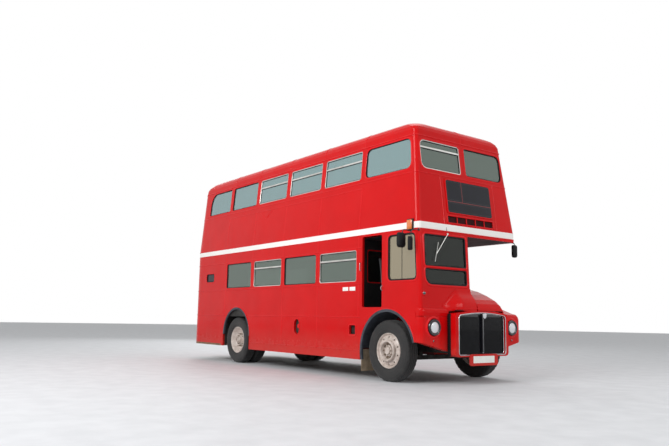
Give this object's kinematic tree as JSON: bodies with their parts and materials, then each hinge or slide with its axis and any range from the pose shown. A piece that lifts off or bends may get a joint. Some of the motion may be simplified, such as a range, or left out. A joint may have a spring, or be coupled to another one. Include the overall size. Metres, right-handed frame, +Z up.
{
  "type": "half-cab double-decker bus",
  "caption": "Half-cab double-decker bus with an open rear platform and stairs, a cream band between the decks, exposed radiator, steering front wheels and twin rear wheels.",
  "frame": {"origin": "on the ground under the middle of the bus", "axes": "+X forward, +Y to the nearside, where passengers board, +Z up"},
  "size_m": [8.382, 2.968, 4.382],
  "materials": {
    "red_coach_paint": "gloss",
    "cream_coach_paint": "gloss",
    "black_enamel": "satin",
    "chrome_plate": "polished",
    "chassis_steel": "matte",
    "tyre_rubber": "matte",
    "wheel_paint": "satin",
    "ribbed_floor": "matte",
    "moquette": "woven",
    "cream_lining": "satin"
  },
  "bodies": {
    "bus_body": {"arch_lining": "chassis_steel", "bench_left": "moquette", "bench_right": "moquette", "bulkhead": "red_coach_paint", "cab_floor": "ribbed_floor", "cab_front": "red_coach_paint", "cab_partition": "red_coach_paint", "cab_side": "red_coach_paint", "canopy": "red_coach_paint", "chassis": "chassis_steel", "deck_band": "cream_coach_paint", "destination_box": "black_enamel", "driver_seat": "moquette", "engine": "chassis_steel", "front_axle": "chassis_steel", "front_wing_left": "red_coach_paint", "front_wing_right": "red_coach_paint", "fuel_tank": "chassis_steel", "grille": "black_enamel", "headlamp_left": "chrome_plate", "headlamp_right": "chrome_plate", "lower_rear": "red_coach_paint", "lower_seats_left": "moquette", "lower_seats_right": "moquette", "lower_side_left": "red_coach_paint", "lower_side_right": "red_coach_paint", "mirror_left": "black_enamel", "mirror_right": "black_enamel", "nose_cowl": "red_coach_paint", "number_plate_holder": "red_coach_paint", "platform_pole": "chrome_plate", "radiator_shell": "chrome_plate", "rear_axle": "chassis_steel", "rear_platform": "ribbed_floor", "roof": "red_coach_paint", "saloon_floor": "ribbed_floor", "staircase": "cream_lining", "upper_floor": "ribbed_floor", "upper_front": "red_coach_paint", "upper_rear": "red_coach_paint", "upper_seats_left": "moquette", "upper_seats_right": "moquette", "upper_side_left": "red_coach_paint", "upper_side_right": "red_coach_paint"},
    "knuckle_right": {"knuckle_right": "chassis_steel"},
    "knuckle_left": {"knuckle_left": "chassis_steel"},
    "front_wheel_right": {"front_disc_right": "wheel_paint", "front_tyre_right": "tyre_rubber"},
    "front_wheel_left": {"front_disc_left": "wheel_paint", "front_tyre_left": "tyre_rubber"},
    "rear_wheels_right": {"rear_disc_right": "wheel_paint", "rear_tyre_outer_right": "tyre_rubber", "rear_tyre_inner_right": "tyre_rubber"},
    "rear_wheels_left": {"rear_disc_left": "wheel_paint", "rear_tyre_outer_left": "tyre_rubber", "rear_tyre_inner_left": "tyre_rubber"},
    "steering_wheel": {"steering_wheel": "black_enamel"},
    "cab_door": {"cab_door": "red_coach_paint"},
    "bonnet": {"bonnet": "red_coach_paint"},
    "emergency_window": {"emergency_window": "red_coach_paint"}
  },
  "joints": [
    {"name": "steer_right", "type": "hinge", "parent": "bus_body", "child": "knuckle_right", "pos_m": [3.109, -0.84, 0.505], "axis": [0, 0, 1], "range_deg": [-32, 32]},
    {"name": "steer_left", "type": "hinge", "parent": "bus_body", "child": "knuckle_left", "pos_m": [3.109, 0.84, 0.505], "axis": [0, 0, 1], "range_deg": [-32, 32]},
    {"name": "front_wheel_right_spin", "type": "hinge", "parent": "knuckle_right", "child": "front_wheel_right", "pos_m": [3.109, -1.03, 0.505], "axis": [0, 1, 0], "continuous": true},
    {"name": "front_wheel_left_spin", "type": "hinge", "parent": "knuckle_left", "child": "front_wheel_left", "pos_m": [3.109, 1.03, 0.505], "axis": [0, 1, 0], "continuous": true},
    {"name": "rear_wheels_right_spin", "type": "hinge", "parent": "bus_body", "child": "rear_wheels_right", "pos_m": [-2.022, -0.89, 0.505], "axis": [0, 1, 0], "continuous": true},
    {"name": "rear_wheels_left_spin", "type": "hinge", "parent": "bus_body", "child": "rear_wheels_left", "pos_m": [-2.022, 0.89, 0.505], "axis": [0, 1, 0], "continuous": true},
    {"name": "steering_wheel_turn", "type": "hinge", "parent": "bus_body", "child": "steering_wheel", "pos_m": [3.37, -0.73, 1.96], "axis": [-0.4695, 0, 0.8829], "range_deg": [-520, 520]},
    {"name": "cab_door_slide", "type": "slide", "parent": "bus_body", "child": "cab_door", "axis": [-1, 0, 0], "range_m": [0, 0.54]},
    {"name": "bonnet_hinge", "type": "hinge", "parent": "bus_body", "child": "bonnet", "pos_m": [2.447, -0.05, 1.564], "axis": [1, 0, 0], "range_deg": [0, 60]},
    {"name": "emergency_window_hinge", "type": "hinge", "parent": "bus_body", "child": "emergency_window", "pos_m": [-4.1182, 0, 3.9474], "axis": [0, 1, 0], "range_deg": [0, 75]}
  ],
  "couplings": [
    {"joint": "steer_left", "follows": "steer_right", "ratio": 1},
    {"joint": "steering_wheel_turn", "follows": "steer_right", "ratio": 16}
  ]
}
